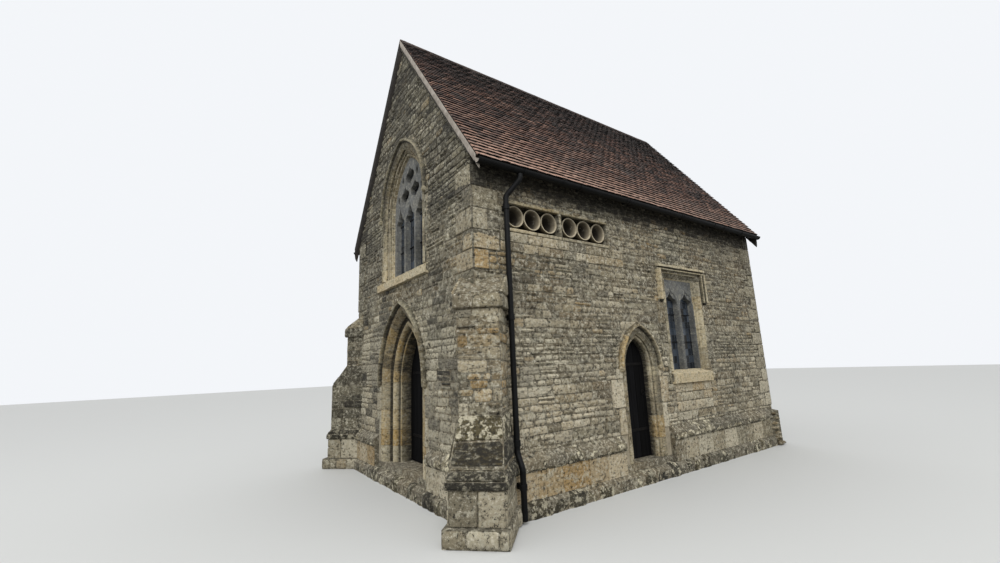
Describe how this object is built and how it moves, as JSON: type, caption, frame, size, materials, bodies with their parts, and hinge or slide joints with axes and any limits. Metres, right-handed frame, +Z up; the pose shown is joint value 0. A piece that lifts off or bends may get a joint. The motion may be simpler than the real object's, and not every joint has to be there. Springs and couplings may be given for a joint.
{
  "type": "small chapel",
  "caption": "Small gabled stone chapel with moulded pointed doorways, traceried windows, diagonal buttresses, clay wall pots and a steep tiled roof.",
  "frame": {"origin": "centre of the bounding box at the lowest ground level the walls stand on", "axes": "+Z up; -Y is the front gable with the main doorway; +X is the side wall with the small doorway; the ridge runs along Y"},
  "size_m": [6.1188, 8.3354, 8.1927],
  "materials": {
    "door_oak": "dark weathered oak planks",
    "wrought_iron": "black wrought iron",
    "black_cast_iron": "black painted cast iron",
    "clay_tile": "handmade plain clay tiles, brown red",
    "roof_oak": "old oak",
    "leaded_glass": "old leaded glass",
    "pot_clay": "unglazed buff clay",
    "lime_mortar": "pale lime mortar",
    "dressed_limestone": "dressed buff limestone, worn",
    "ashlar_limestone": "ashlar limestone with lichen",
    "stone_flags": "worn stone flags",
    "rubble_limestone": "coursed limestone rubble"
  },
  "bodies": {
    "building": {"back_corner_stubs": "rubble_limestone", "back_gable_sides": "rubble_limestone", "back_gable_top": "rubble_limestone", "back_wall": "rubble_limestone", "clay_pots": "pot_clay", "collars": "roof_oak", "door_pintles": "wrought_iron", "door_rear_arches": "dressed_limestone", "door_thresholds": "dressed_limestone", "downpipes": "black_cast_iron", "floor": "stone_flags", "front_door_hood": "dressed_limestone", "front_doorway": "dressed_limestone", "front_gable_sides": "rubble_limestone", "front_gable_top": "rubble_limestone", "front_left_buttress": "ashlar_limestone", "front_right_buttress": "ashlar_limestone", "front_wall_over_door": "rubble_limestone", "front_wall_sides": "rubble_limestone", "gutter_brackets": "black_cast_iron", "gutters": "black_cast_iron", "left_rafters": "roof_oak", "left_roof_slope": "clay_tile", "left_wall_sides": "rubble_limestone", "left_wall_top": "rubble_limestone", "left_wall_under_window": "rubble_limestone", "plinth_course": "ashlar_limestone", "pointed_window_hoods": "dressed_limestone", "pointed_window_surrounds": "dressed_limestone", "pointed_window_tracery": "dressed_limestone", "pot_panel": "rubble_limestone", "ridge_tiles": "clay_tile", "right_rafters": "roof_oak", "right_roof_slope": "clay_tile", "right_wall_back": "rubble_limestone", "right_wall_front": "rubble_limestone", "right_wall_over_door": "rubble_limestone", "right_wall_top": "rubble_limestone", "right_wall_under_window": "rubble_limestone", "side_door_hood": "dressed_limestone", "side_doorway": "dressed_limestone", "square_window_labels": "dressed_limestone", "square_window_surrounds": "dressed_limestone", "square_window_tracery": "dressed_limestone", "verge_fillets": "lime_mortar", "wall_plates": "roof_oak", "window_glass": "leaded_glass", "window_sills": "dressed_limestone"},
    "front_leaf": {"front_door": "door_oak", "front_door_ironwork": "wrought_iron"},
    "side_leaf": {"side_door": "door_oak", "side_door_ironwork": "wrought_iron"}
  },
  "joints": [
    {"name": "front_door_hinge", "type": "hinge", "parent": "building", "child": "front_leaf", "pos_m": [-0.548, -3.10717, 0.3], "axis": [0, 0, 1], "range_deg": [0, 95]},
    {"name": "side_door_hinge", "type": "hinge", "parent": "building", "child": "side_leaf", "pos_m": [2.124, -0.72617, 0.3], "axis": [0, 0, 1], "range_deg": [0, 95]}
  ]
}
